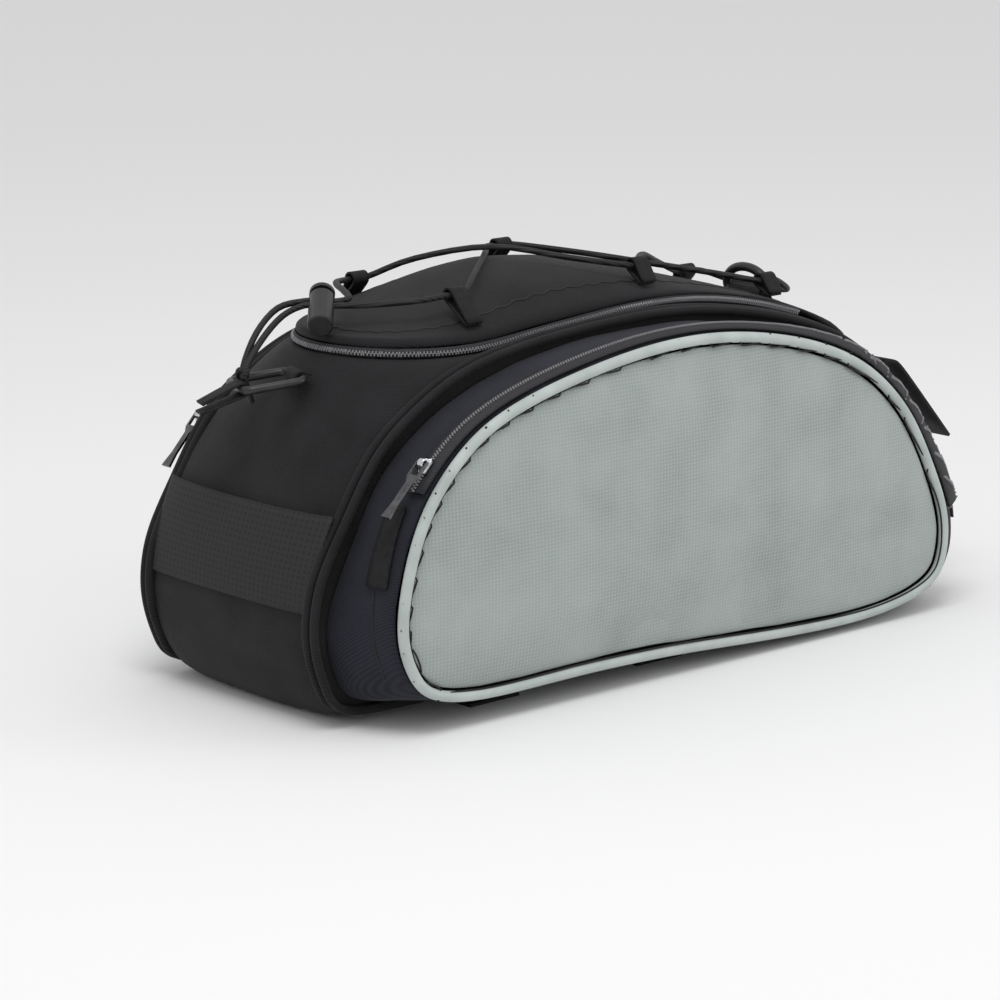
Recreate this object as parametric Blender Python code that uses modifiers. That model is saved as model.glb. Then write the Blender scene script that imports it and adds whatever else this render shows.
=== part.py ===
"""Bicycle trunk bag: a padded body with a zipped, domed lid, an expanding
pouch on each side, and an elastic cord laced over the lid.

Metres, +Z up. +X points to the bag's rear and -Y to its left side. The
origin lies under the middle of the bag, on the surface that it rests on.
"""
import math
from collections import namedtuple

import bmesh
import bpy
from mathutils import Matrix, Vector

# Body and lid
BODY_LENGTH = 0.403
BODY_WIDTH = 0.120
RIM_HEIGHT = 0.1655
LID_RISE = 0.0180
LID_LIP = 0.0062
BODY_WALL = 0.0025
LID_WALL = 0.0025
ZIP_BAND = 0.0046
ZIP_TAPE = 0.0014
ZIP_COIL = 0.0010
HINGE_SEAM = 0.0004

# Side pouches
LEFT_POUCH_DEPTH = 0.0339
RIGHT_POUCH_DEPTH = 0.0090
POUCH_WALL = 0.0022
LEFT_POUCH_SEAT = 0.0009
RIGHT_POUCH_SEAT = POUCH_WALL + 0.0002
LEFT_POUCH_PUFF = 0.0200
RIGHT_POUCH_PUFF = 0.0040
PANEL_DOME = 0.0055
PANEL_WALL = 0.0022
POUCH_PIPING_RADIUS = 0.0026
LEFT_POUCH_ZIP_WIDTH = 0.0085
RIGHT_POUCH_ZIP_WIDTH = 0.0050
POUCH_ZIP_TAPE = 0.0012
POUCH_ZIP_INSET = 0.0006

# Trim and webbing
EDGE_PIPING_RADIUS = 0.0021
POCKET_SHEET = 0.0010
POCKET_FOOT = 0.330
POCKET_HEAD = 0.600
POCKET_BULGE = 0.0030
BASE_STRAP_WIDTH = 0.030
BASE_STRAP_THICKNESS = 0.0015
BASE_STRAP_REACH = 0.075
GAP = 0.0003

# Webbing loops and the cord that runs through them
LOOP_WIDTH = 0.009
LOOP_WEBBING = 0.0010
LOOP_EYE = 0.0027
CORD_RADIUS = 0.0015

# Cord lock: its middle, the way from its cap to its foot, and its cords' way
LOCK_MIDDLE = (-0.1414, 0.0020, 0.1749)
LOCK_COURSE = (-0.602, -0.677, -0.424)
LOCK_CORDS = (0.747, -0.665, 0.0)
LOCK_LENGTH = 0.0270
LOCK_RADIUS = 0.0059
LOCK_CAP = 0.0028
LOCK_BORE = 0.0042
LOCK_STEM = 0.0038
LOCK_TRAVEL = 0.0020
LOCK_SLOT = 0.0044
LOCK_SLOT_HEIGHT = 0.0074
LOCK_SLOT_DROP = 0.0090

# Front ring, flat and oblong, with its webbing
FRONT_RING_PLACE = (-0.1751, -0.0004, 0.1465)
FRONT_RING_TURN = -19.6
FRONT_RING_TILT = -5.6
FRONT_RING_LENGTH = 0.033
FRONT_RING_WIDTH = 0.030
FRONT_RING_BAR = 0.0020
FRONT_RING_CORNER = 0.0050
FRONT_TAB_WIDTH = 0.015
FRONT_STRAP_WIDTH = 0.0090
TAB_WEBBING = 0.0011

# Rear ring, standing, with its webbing tab on the lid
REAR_RING_ALONG = 0.8280
REAR_RING_WIDTH = 0.034
REAR_RING_HEIGHT = 0.0185
REAR_RING_BAR = 0.0025
REAR_RING_LEAN = -8.0
REAR_TAB_WIDTH = 0.022
REAR_TAB_LENGTH = 0.020

# Rear strap, folded over and hanging off the body
REAR_STRAP_WIDTH = 0.030
REAR_STRAP_THICKNESS = 0.0015
REAR_STRAP_COURSE = ((0.1745, 0.1196), (0.1838, 0.1186), (0.1888, 0.1145), (0.2262, 0.0740))
REAR_STRAP_MIDDLE = -0.039

# Zip sliders and their pulls
SLIDER_LENGTH = 0.0080
SLIDER_WIDTH = 0.0040
SLIDER_BASE = 0.0022
SLIDER_TOP = 0.0052
SLIDER_HOLE = 0.0012
SLIDER_AXIS = 0.0034
PULL_THICKNESS = 0.0012
PULL_LENGTH = 0.0300
PULL_EYE_WIDTH = 0.0048
PULL_EYE_LENGTH = 0.0080
PULL_ARM = 0.0011
PULL_WAIST = 0.0016
PULL_FLARE = 0.0028
POUCH_SLIDER_ROW = 5
LID_SLIDER_ALONG = 0.640
LID_SLIDER_LEAN = math.radians(30)

BASE_Z = BASE_STRAP_THICKNESS + GAP
SIDE_Y = BODY_WIDTH / 2

# Height of the zip line above the base, along the bag
RimRow = namedtuple("RimRow", "along up")
RIM_ROWS = (
    RimRow(0.139, 0.945),
    RimRow(0.268, 0.947),
    RimRow(0.360, 0.970),
    RimRow(0.452, 0.988),
    RimRow(0.521, 1.000),
    RimRow(0.576, 0.998),
    RimRow(0.640, 0.982),
    RimRow(0.705, 0.952),
    RimRow(0.787, 0.897),
    RimRow(0.859, 0.819),
    RimRow(0.911, 0.749),
    RimRow(0.933, 0.715),
)

# Level sections of the body: up is a share of the zip line's height there,
# front, corners and rear are shares of the length, wide of the half width
BodyRow = namedtuple("BodyRow", "up front front_corner rear_corner rear wide round")
BODY_ROWS = (
    BodyRow(0.000, 0.045, 0.062, 0.938, 0.963, 0.924, 2.0),
    BodyRow(0.020, 0.035, 0.052, 0.948, 0.970, 0.970, 2.0),
    BodyRow(0.060, 0.021, 0.037, 0.960, 0.979, 0.988, 2.0),
    BodyRow(0.160, 0.005, 0.017, 0.975, 0.993, 1.000, 2.0),
    BodyRow(0.280, 0.000, 0.009, 0.983, 0.999, 1.000, 2.0),
    BodyRow(0.420, 0.006, 0.020, 0.980, 0.995, 1.000, 2.0),
    BodyRow(0.550, 0.025, 0.047, 0.970, 0.988, 1.000, 2.0),
    BodyRow(0.700, 0.056, 0.082, 0.954, 0.975, 1.000, 2.0),
    BodyRow(0.830, 0.085, 0.137, 0.933, 0.960, 1.000, 2.0),
    BodyRow(0.930, 0.115, 0.205, 0.906, 0.945, 1.000, 2.0),
    BodyRow(0.978, 0.131, 0.280, 0.880, 0.938, 0.990, 2.1),
    BodyRow(1.000, 0.139, 0.285, 0.850, 0.933, 0.879, 2.1),
)

# Rise of the lid above its edge, and height of that upright edge, along the bag
LidRow = namedtuple("LidRow", "along rise lip")
LID_ROWS = (
    LidRow(0.139, 0.04, 1.00),
    LidRow(0.180, 0.20, 1.00),
    LidRow(0.223, 0.38, 1.00),
    LidRow(0.288, 0.68, 0.95),
    LidRow(0.350, 0.93, 0.90),
    LidRow(0.397, 1.00, 0.85),
    LidRow(0.449, 0.93, 0.80),
    LidRow(0.491, 0.74, 0.75),
    LidRow(0.533, 0.53, 0.70),
    LidRow(0.596, 0.32, 0.62),
    LidRow(0.655, 0.20, 0.58),
    LidRow(0.740, 0.11, 0.55),
    LidRow(0.801, 0.06, 0.55),
    LidRow(0.868, 0.02, 0.52),
    LidRow(0.933, 0.00, 0.30),
)
LID_SPINE = (0.300, 0.850)
LID_STEPS = (0.985, 0.93, 0.80, 0.60, 0.32, 0.0)
LID_FULLNESS = 3.0

# Edge of the body's side panel, where the piping is sewn
EdgeRow = namedtuple("EdgeRow", "along up")
EDGE_ROWS = (
    EdgeRow(0.045, 0.036),
    EdgeRow(0.020, 0.115),
    EdgeRow(0.006, 0.230),
    EdgeRow(0.008, 0.335),
    EdgeRow(0.021, 0.430),
    EdgeRow(0.051, 0.550),
    EdgeRow(0.091, 0.700),
    EdgeRow(0.136, 0.796),
    EdgeRow(0.210, 0.895),
    EdgeRow(0.290, 0.942),
    EdgeRow(0.372, 0.965),
    EdgeRow(0.471, 0.980),
    EdgeRow(0.558, 0.979),
    EdgeRow(0.650, 0.952),
    EdgeRow(0.740, 0.905),
    EdgeRow(0.820, 0.835),
    EdgeRow(0.888, 0.733),
    EdgeRow(0.937, 0.600),
    EdgeRow(0.968, 0.440),
    EdgeRow(0.981, 0.250),
    EdgeRow(0.970, 0.095),
    EdgeRow(0.930, 0.030),
    EdgeRow(0.700, 0.022),
    EdgeRow(0.400, 0.022),
    EdgeRow(0.130, 0.022),
)

# Ribs of a side pouch, from the body out to the edge of the grey panel.
# The outer columns follow the piping's outer edge, puff is the gusset's bulge
PouchRow = namedtuple("PouchRow", "along_in up_in along_out up_out puff")
POUCH_ROWS = (
    PouchRow(0.060, 0.062, 0.099, 0.085, 0.10),
    PouchRow(0.034, 0.142, 0.066, 0.165, 0.14),
    PouchRow(0.022, 0.270, 0.051, 0.285, 0.16),
    PouchRow(0.041, 0.390, 0.060, 0.435, 0.16),
    PouchRow(0.067, 0.520, 0.082, 0.580, 0.14),
    PouchRow(0.099, 0.653, 0.117, 0.695, 0.10),
    PouchRow(0.146, 0.755, 0.169, 0.798, 0.08),
    PouchRow(0.216, 0.846, 0.238, 0.864, 0.07),
    PouchRow(0.300, 0.910, 0.323, 0.912, 0.07),
    PouchRow(0.397, 0.942, 0.422, 0.948, 0.07),
    PouchRow(0.501, 0.953, 0.521, 0.954, 0.07),
    PouchRow(0.608, 0.935, 0.620, 0.924, 0.10),
    PouchRow(0.707, 0.890, 0.715, 0.864, 0.20),
    PouchRow(0.806, 0.800, 0.797, 0.767, 0.40),
    PouchRow(0.881, 0.670, 0.864, 0.616, 0.50),
    PouchRow(0.931, 0.510, 0.908, 0.435, 0.70),
    PouchRow(0.958, 0.340, 0.935, 0.284, 0.95),
    PouchRow(0.961, 0.180, 0.933, 0.139, 1.00),
    PouchRow(0.936, 0.070, 0.896, 0.054, 0.60),
    PouchRow(0.820, 0.040, 0.790, 0.012, 0.10),
    PouchRow(0.640, 0.040, 0.620, 0.024, 0.00),
    PouchRow(0.470, 0.046, 0.470, 0.048, 0.00),
    PouchRow(0.300, 0.048, 0.320, 0.057, 0.00),
    PouchRow(0.140, 0.048, 0.180, 0.054, 0.00),
)
POUCH_STEPS = (0.0, 0.28, 0.60, 0.86, 1.0)
POUCH_ZIP_SPAN = (4.5, 16)
PANEL_STEPS = (1.0, 0.84, 0.52, 0.0)

# The left pouch stands full, the right one is empty and lies flat
Pouch = namedtuple("Pouch", "name side seat depth puff zip_width")
POUCHES = (
    Pouch("left", -1, LEFT_POUCH_SEAT, LEFT_POUCH_DEPTH, LEFT_POUCH_PUFF, LEFT_POUCH_ZIP_WIDTH),
    Pouch("right", 1, RIGHT_POUCH_SEAT, RIGHT_POUCH_DEPTH, RIGHT_POUCH_PUFF, RIGHT_POUCH_ZIP_WIDTH),
)

FRONT_COLUMNS = 10
SIDE_COLUMNS = 8
REAR_COLUMNS = 6

# Six webbing loops on the lid's edge: place along the bag, side, height of the
# loop's foot above the lid's edge, and the reach of its eye inward and upward
Loop = namedtuple("Loop", "name along side reach rise")
LOOPS = (
    Loop("left_front_loop", 0.268, -1, 0.0128, 0.0125),
    Loop("left_middle_loop", 0.538, -1, 0.0071, 0.0085),
    Loop("left_rear_loop", 0.752, -1, 0.0071, 0.0068),
    Loop("right_front_loop", 0.287, 1, 0.0040, 0.0085),
    Loop("right_middle_loop", 0.512, 1, 0.0040, 0.0085),
    Loop("right_rear_loop", 0.825, 1, 0.0040, 0.0085),
)

# Elastic cord, from its knotted end on the front ring through the lock, six
# loops and the lock again, and back to the ring
CORD_ROUTE = (
    (-0.1800, 0.0045, 0.1370), (-0.1838, 0.0026, 0.1440), (-0.1850, 0.0025, 0.1520),
    (-0.1720, 0.0070, 0.1635), (-0.1560, 0.0120, 0.1720), (-0.1457, 0.0091, 0.1761),
    (-0.1398, 0.0038, 0.1761), (-0.1345, -0.0009, 0.1761), (-0.1260, -0.0120, 0.1768),
    (-0.1120, -0.0290, 0.1792), (-0.0987, -0.0352, 0.1810), (-0.0883, -0.0352, 0.1812),
    (-0.0700, -0.0220, 0.1865), (-0.0400, 0.0050, 0.1892), (-0.0150, 0.0320, 0.1868),
    (-0.0004, 0.0440, 0.1843), (0.0101, 0.0440, 0.1842),
    (0.0380, 0.0220, 0.1795), (0.0600, 0.0000, 0.1750), (0.0820, -0.0260, 0.1705),
    (0.0963, -0.0409, 0.1672), (0.1068, -0.0409, 0.1670),
    (0.1240, -0.0340, 0.1600), (0.1390, -0.0180, 0.1550), (0.1460, 0.0050, 0.1530),
    (0.1485, 0.0280, 0.1530),
    (0.1440, 0.0415, 0.1562), (0.1362, 0.0441, 0.1578), (0.1257, 0.0440, 0.1580),
    (0.0950, 0.0260, 0.1680), (0.0600, 0.0010, 0.1788), (0.0380, -0.0180, 0.1815),
    (0.0206, -0.0409, 0.1838), (0.0100, -0.0409, 0.1840),
    (-0.0150, -0.0260, 0.1885), (-0.0400, 0.0000, 0.1932), (-0.0640, 0.0270, 0.1870),
    (-0.0805, 0.0440, 0.1777), (-0.0912, 0.0440, 0.1777),
    (-0.1100, 0.0300, 0.1800), (-0.1215, 0.0100, 0.1800), (-0.1268, 0.0000, 0.1785),
    (-0.1324, 0.0015, 0.1775), (-0.1376, 0.0062, 0.1775), (-0.1436, 0.0115, 0.1775),
    (-0.1550, 0.0165, 0.1750), (-0.1715, 0.0110, 0.1665), (-0.1830, 0.0062, 0.1530),
    (-0.1826, 0.0060, 0.1440), (-0.1785, 0.0078, 0.1375),
)
CORD_SPACING = 0.0125


def clear_scene():
    for thing in list(bpy.data.objects):
        bpy.data.objects.remove(thing, do_unlink=True)


def make_collection(name):
    collection = bpy.data.collections.get(name)
    if collection is None:
        collection = bpy.data.collections.new(name)
        bpy.context.scene.collection.children.link(collection)
    return collection


def make_material(name, colour, roughness, metallic=0.0):
    material = bpy.data.materials.new(name)
    material.use_nodes = True
    shader = material.node_tree.nodes["Principled BSDF"]
    shader.inputs["Base Color"].default_value = (*colour, 1.0)
    shader.inputs["Roughness"].default_value = roughness
    shader.inputs["Metallic"].default_value = metallic
    return material


def along(share):
    return (share - 0.5) * BODY_LENGTH


def up(share):
    return BASE_Z + share * RIM_HEIGHT


def hermite(before, low, high, after, share):
    """Cubic through low and high, with the neighbours setting the slopes."""
    start = (high - before) / 2
    end = (after - low) / 2
    square = share * share
    cube = square * share
    return (
        (2 * cube - 3 * square + 1) * low
        + (cube - 2 * square + share) * start
        + (3 * square - 2 * cube) * high
        + (cube - square) * end
    )


def read_rows(rows, column, at):
    """Value of a column where the rows' first column equals at."""
    keys = [row[0] for row in rows]
    if at <= keys[0]:
        return getattr(rows[0], column)
    if at >= keys[-1]:
        return getattr(rows[-1], column)
    index = 0
    while keys[index + 1] < at:
        index += 1
    width = keys[index + 1] - keys[index]
    share = (at - keys[index]) / width
    low = getattr(rows[index], column)
    high = getattr(rows[index + 1], column)
    start = low
    end = high
    if index > 0:
        slope = (high - getattr(rows[index - 1], column)) / (keys[index + 1] - keys[index - 1])
        start = slope * width
    else:
        start = high - low
    if index + 2 < len(rows):
        slope = (getattr(rows[index + 2], column) - low) / (keys[index + 2] - keys[index])
        end = slope * width
    else:
        end = high - low
    square = share * share
    cube = square * share
    return (
        (2 * cube - 3 * square + 1) * low
        + (cube - 2 * square + share) * start
        + (3 * square - 2 * cube) * high
        + (cube - square) * end
    )


def rim_height(x):
    """Height of the zip line above the base at a place along the bag."""
    return RIM_HEIGHT * read_rows(RIM_ROWS, "up", x / BODY_LENGTH + 0.5)


def ring_plan(row):
    """Plan of one level section, from the left side's middle of the front
    round by the right side and the rear."""
    half = SIDE_Y * row.wide
    front = along(row.front)
    front_corner = along(row.front_corner)
    rear_corner = along(row.rear_corner)
    rear = along(row.rear)
    power = 2 / row.round
    plan = []
    for step in range(FRONT_COLUMNS):
        angle = math.pi * (step / FRONT_COLUMNS - 0.5)
        reach = max(math.cos(angle), 0.0) ** power
        spread = math.copysign(abs(math.sin(angle)) ** power, angle)
        plan.append(Vector((front_corner - (front_corner - front) * reach, half * spread)))
    for step in range(SIDE_COLUMNS):
        share = step / SIDE_COLUMNS
        plan.append(Vector((front_corner + (rear_corner - front_corner) * share, half)))
    for step in range(REAR_COLUMNS):
        angle = math.pi * (0.5 - step / REAR_COLUMNS)
        reach = max(math.cos(angle), 0.0) ** power
        spread = math.copysign(abs(math.sin(angle)) ** power, angle)
        plan.append(Vector((rear_corner + (rear - rear_corner) * reach, half * spread)))
    for step in range(SIDE_COLUMNS):
        share = step / SIDE_COLUMNS
        plan.append(Vector((rear_corner + (front_corner - rear_corner) * share, -half)))
    return plan


def is_zipped(column):
    """True for the columns of the rim that the lid's zip runs along."""
    rear_start = FRONT_COLUMNS + SIDE_COLUMNS
    rear_end = rear_start + REAR_COLUMNS
    return not rear_start <= column <= rear_end


def rim_clearance(column):
    """How far the body's and the lid's edges lie from the zip line."""
    if is_zipped(column):
        return ZIP_BAND / 2 + GAP
    return HINGE_SEAM / 2


def grid_mesh(name, rows, closed, cap_first=False):
    """A sheet of faces through rows of points."""
    mesh = bpy.data.meshes.new(name)
    work = bmesh.new()
    verts = [[work.verts.new(point) for point in row] for row in rows]
    count = len(rows[0])
    last = count if closed else count - 1
    for low, high in zip(verts, verts[1:]):
        for column in range(last):
            after = (column + 1) % count
            work.faces.new((low[column], low[after], high[after], high[column]))
    if cap_first:
        work.faces.new(list(reversed(verts[0])))
    bmesh.ops.remove_doubles(work, verts=work.verts, dist=1e-6)
    work.to_mesh(mesh)
    work.free()
    return mesh


def face_away(mesh, inside):
    """Turn the faces so that most of them look away from a point."""
    total = 0.0
    for polygon in mesh.polygons:
        total += (polygon.center - inside).dot(polygon.normal) * polygon.area
    if total < 0:
        mesh.flip_normals()


def add_object(name, mesh, material, collection, smooth_angle=40):
    mesh.shade_smooth()
    mesh.set_sharp_from_angle(angle=math.radians(smooth_angle))
    mesh.materials.append(material)
    thing = bpy.data.objects.new(name, mesh)
    collection.objects.link(thing)
    return thing


def thicken(thing, thickness, offset=-1.0):
    modifier = thing.modifiers.new("wall", "SOLIDIFY")
    modifier.thickness = thickness
    modifier.offset = offset
    modifier.use_even_offset = False


def make_body(material, collection):
    rows = []
    for row in BODY_ROWS:
        points = []
        for column, plan in enumerate(ring_plan(row)):
            height = row.up * rim_height(plan.x)
            if row is BODY_ROWS[-1]:
                height -= rim_clearance(column)
            points.append(Vector((plan.x, plan.y, BASE_Z + height)))
        rows.append(points)
    mesh = grid_mesh("body_shell", rows, closed=True, cap_first=True)
    face_away(mesh, Vector((0, 0, RIM_HEIGHT / 2)))
    thing = add_object("body_shell", mesh, material, collection)
    thicken(thing, BODY_WALL)
    return thing


def lid_height(x, share):
    """Height of the lid above the base; share is 1 at its edge, 0 at its spine."""
    at = x / BODY_LENGTH + 0.5
    rise = LID_RISE * read_rows(LID_ROWS, "rise", at) * (1 - share ** LID_FULLNESS)
    return rim_height(x) + rise + LID_LIP * read_rows(LID_ROWS, "lip", at)


def lid_spine(x):
    """The lid's spine beside a place on its edge."""
    return min(max(x, along(LID_SPINE[0])), along(LID_SPINE[1]))


def make_lid(material, collection):
    rim = ring_plan(BODY_ROWS[-1])
    edge = []
    for column, plan in enumerate(rim):
        height = rim_height(plan.x) + rim_clearance(column)
        edge.append(Vector((plan.x, plan.y, BASE_Z + height)))
    rows = [edge]
    for step in LID_STEPS:
        points = []
        for plan in rim:
            place = Vector((lid_spine(plan.x), 0.0)).lerp(plan, step)
            points.append(Vector((place.x, place.y, BASE_Z + lid_height(place.x, step))))
        rows.append(points)
    mesh = grid_mesh("lid_shell", rows, closed=True)
    face_away(mesh, Vector((0, 0, 0)))
    thing = add_object("lid_shell", mesh, material, collection)
    thicken(thing, LID_WALL)
    return thing


def make_lid_zip(material, collection):
    rim = ring_plan(BODY_ROWS[-1])
    order = list(range(FRONT_COLUMNS + SIDE_COLUMNS + REAR_COLUMNS + 1, len(rim)))
    order += list(range(FRONT_COLUMNS + SIDE_COLUMNS))
    sections = ((-0.5, 0.0), (-0.22, 1.0), (0.22, 1.0), (0.5, 0.0))
    rows = []
    for height_share, bulge in sections:
        points = []
        for column in order:
            before = rim[column - 1]
            after = rim[(column + 1) % len(rim)]
            course = (after - before).normalized()
            outward = Vector((-course.y, course.x))
            place = rim[column] + outward * ZIP_COIL * bulge
            height = BASE_Z + rim_height(rim[column].x) + ZIP_BAND * height_share
            points.append(Vector((place.x, place.y, height)))
        rows.append(points)
    mesh = grid_mesh("lid_zip", rows, closed=False)
    face_away(mesh, Vector((0, 0, RIM_HEIGHT)))
    thing = add_object("lid_zip", mesh, material, collection)
    thicken(thing, ZIP_TAPE)
    return thing


def closed_outline(rows, along_name, up_name, between):
    """Smooth closed outline in X and Z through the rows' shares."""
    places = [Vector((along(getattr(row, along_name)), up(getattr(row, up_name)))) for row in rows]
    count = len(places)
    points = []
    for index in range(count):
        before = places[index - 1]
        low = places[index]
        high = places[(index + 1) % count]
        after = places[(index + 2) % count]
        for step in range(between):
            points.append(hermite(before, low, high, after, step / between))
    return points


def outline_normals(points):
    """Outward directions of an outline that runs clockwise seen from -Y."""
    normals = []
    for index, point in enumerate(points):
        course = points[(index + 1) % len(points)] - points[index - 1]
        course.normalize()
        normals.append(Vector((-course.y, course.x)))
    return normals


def inset(points, distance):
    return [p - n * distance for p, n in zip(points, outline_normals(points))]


def closed_tube(name, points, radius, material, collection):
    """A ring of round cord through closed points."""
    data = bpy.data.curves.new(name, "CURVE")
    data.dimensions = "3D"
    data.bevel_depth = radius
    data.bevel_resolution = 1
    spline = data.splines.new("POLY")
    spline.points.add(len(points) - 1)
    for target, point in zip(spline.points, points):
        target.co = (*point, 1.0)
    spline.use_cyclic_u = True
    data.materials.append(material)
    thing = bpy.data.objects.new(name, data)
    collection.objects.link(thing)
    return thing


def make_edge_piping(pouch, material, collection):
    outline = closed_outline(EDGE_ROWS, "along", "up", 2)
    y = pouch.side * (SIDE_Y + EDGE_PIPING_RADIUS + GAP)
    points = [Vector((p.x, y, p.y)) for p in outline]
    return closed_tube(pouch.name + "_edge_piping", points, EDGE_PIPING_RADIUS, material, collection)


def pouch_rib(pouch, share):
    """Outline of the pouch's wall at a share of its depth, in X and Z."""
    inner = closed_outline(POUCH_ROWS, "along_in", "up_in", 2)
    outer = inset(closed_outline(POUCH_ROWS, "along_out", "up_out", 2), POUCH_PIPING_RADIUS / 4)
    ease = share * share * (3 - 2 * share)
    plain = [low.lerp(high, ease) for low, high in zip(inner, outer)]
    bulge = 2.6 * share ** 1.4 * (1 - share) ** 0.55 * pouch.puff
    points = []
    for index, (point, normal) in enumerate(zip(plain, outline_normals(plain))):
        row = index // 2
        puff = POUCH_ROWS[row].puff
        if index % 2:
            puff = (puff + POUCH_ROWS[(row + 1) % len(POUCH_ROWS)].puff) / 2
        points.append(point + normal * puff * bulge)
    return points


def pouch_y(pouch, depth):
    return pouch.side * (SIDE_Y + pouch.seat + depth)


def make_pouch_gusset(pouch, material, collection):
    rows = []
    for share in POUCH_STEPS:
        y = pouch_y(pouch, pouch.depth * share)
        rows.append([Vector((p.x, y, p.y)) for p in pouch_rib(pouch, share)])
    mesh = grid_mesh(pouch.name + "_pouch_gusset", rows, closed=True)
    face_away(mesh, Vector((0, pouch_y(pouch, pouch.depth / 2), RIM_HEIGHT / 2)))
    thing = add_object(pouch.name + "_pouch_gusset", mesh, material, collection)
    thicken(thing, POUCH_WALL)
    return thing


def make_pouch_piping(pouch, material, collection):
    outer = closed_outline(POUCH_ROWS, "along_out", "up_out", 2)
    y = pouch_y(pouch, pouch.depth + GAP + POUCH_PIPING_RADIUS)
    points = [Vector((p.x, y, p.y)) for p in inset(outer, POUCH_PIPING_RADIUS)]
    return closed_tube(pouch.name + "_pouch_piping", points, POUCH_PIPING_RADIUS, material, collection)


def make_pouch_panel(pouch, material, collection):
    outer = closed_outline(POUCH_ROWS, "along_out", "up_out", 2)
    edge = inset(outer, 2 * POUCH_PIPING_RADIUS + GAP)
    middle = sum(edge, Vector((0, 0))) / len(edge)
    edge_depth = pouch.depth + GAP + POUCH_PIPING_RADIUS
    rows = []
    for share in PANEL_STEPS:
        y = pouch_y(pouch, edge_depth + PANEL_DOME * (1 - share ** 3))
        rows.append([Vector((p.x, y, p.y)) for p in (middle.lerp(q, share) for q in edge)])
    mesh = grid_mesh(pouch.name + "_pouch_panel", rows, closed=True)
    face_away(mesh, Vector((0, 0, RIM_HEIGHT / 2)))
    thing = add_object(pouch.name + "_pouch_panel", mesh, material, collection)
    thicken(thing, PANEL_WALL)
    return thing


def make_pouch_zip(pouch, material, collection):
    first, last = (round(2 * row) for row in POUCH_ZIP_SPAN)
    half = pouch.zip_width / 2 / pouch.depth
    rows = []
    for share, lift in ((-1.0, 0.0), (-0.25, 1.0), (0.25, 1.0), (1.0, 0.0)):
        depth = 1 - POUCH_ZIP_INSET / pouch.depth - half * (1 - share)
        plan = pouch_rib(pouch, depth)
        normals = outline_normals(plan)
        y = pouch_y(pouch, pouch.depth * depth)
        height = 2 * GAP + ZIP_COIL * lift
        rows.append([
            Vector((plan[i].x + normals[i].x * height, y, plan[i].y + normals[i].y * height))
            for i in range(first, last + 1)
        ])
    mesh = grid_mesh(pouch.name + "_pouch_zip", rows, closed=False)
    face_away(mesh, Vector((0, pouch_y(pouch, 0.0), RIM_HEIGHT / 3)))
    thing = add_object(pouch.name + "_pouch_zip", mesh, material, collection)
    thicken(thing, POUCH_ZIP_TAPE, offset=1.0)
    return thing


def make_base_strap(name, middle_share, material, collection):
    mesh = bpy.data.meshes.new(name)
    work = bmesh.new()
    size = Matrix.Diagonal((BASE_STRAP_WIDTH, 2 * BASE_STRAP_REACH, BASE_STRAP_THICKNESS, 1.0))
    bmesh.ops.create_cube(work, size=1.0, matrix=size)
    work.to_mesh(mesh)
    work.free()
    thing = add_object(name, mesh, material, collection)
    thing.location = (along(middle_share), 0.0, BASE_STRAP_THICKNESS / 2)
    return thing


def make_ribbon(name, course, width, thickness, frame, material, collection):
    """Webbing that follows a course of points in its frame's X and Z."""
    rows = []
    for side in (-0.5, 0.5):
        rows.append([frame @ Vector((x, side * width, z)) for x, z in course])
    mesh = grid_mesh(name, rows, closed=False)
    thing = add_object(name, mesh, material, collection, smooth_angle=50)
    thicken(thing, thickness, offset=0.0)
    return thing


def wrap_course(bar_x, reach, start, end, steps):
    """Course of webbing around a bar: start and end are its two tails."""
    points = [start]
    turn = math.pi if start[0] > bar_x else 0.0
    for step in range(steps + 1):
        angle = turn + math.pi / 2 - math.pi * step / steps
        if turn:
            angle = math.pi / 2 + math.pi * step / steps
        points.append((bar_x + reach * math.cos(angle), reach * math.sin(angle)))
    points.append(end)
    return points


def make_loop(loop, material, collection):
    """A webbing loop on the lid's edge, its eye's axis along the bag."""
    x = along(loop.along)
    wide = SIDE_Y * BODY_ROWS[-1].wide
    lid_z = BASE_Z + lid_height(x, LID_STEPS[1])
    foot = Vector((loop.side * (wide * LID_STEPS[1] - 0.001), lid_z + 3 * GAP + LOOP_WEBBING))
    eye = foot + Vector((-loop.side * loop.reach, loop.rise))
    course = eye - foot
    toward = course.normalized()
    across = Vector((-toward.y, toward.x)) * -loop.side
    reach = LOOP_EYE + LOOP_WEBBING / 2
    points = [foot + across * LOOP_WEBBING * 1.6]
    for step in range(9):
        angle = math.radians(115 - 230 * step / 8)
        points.append(eye + toward * reach * math.cos(angle) + across * reach * math.sin(angle))
    points.append(foot)
    rows = []
    for end in (-0.5, 0.5):
        rows.append([Vector((x + end * LOOP_WIDTH, p.x, p.y)) for p in points])
    mesh = grid_mesh(loop.name, rows, closed=False)
    thing = add_object(loop.name, mesh, material, collection, smooth_angle=50)
    thicken(thing, LOOP_WEBBING, offset=0.0)
    return thing


def smooth_course(route, spacing):
    """Points on a smooth curve through a route, the route's own among them."""
    places = [Vector(point) for point in route]
    points = []
    for index in range(len(places) - 1):
        before = places[max(index - 1, 0)]
        low = places[index]
        high = places[index + 1]
        after = places[min(index + 2, len(places) - 1)]
        steps = max(1, round((high - low).length / spacing))
        for step in range(steps):
            points.append(hermite(before, low, high, after, step / steps))
    points.append(places[-1])
    return points


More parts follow.
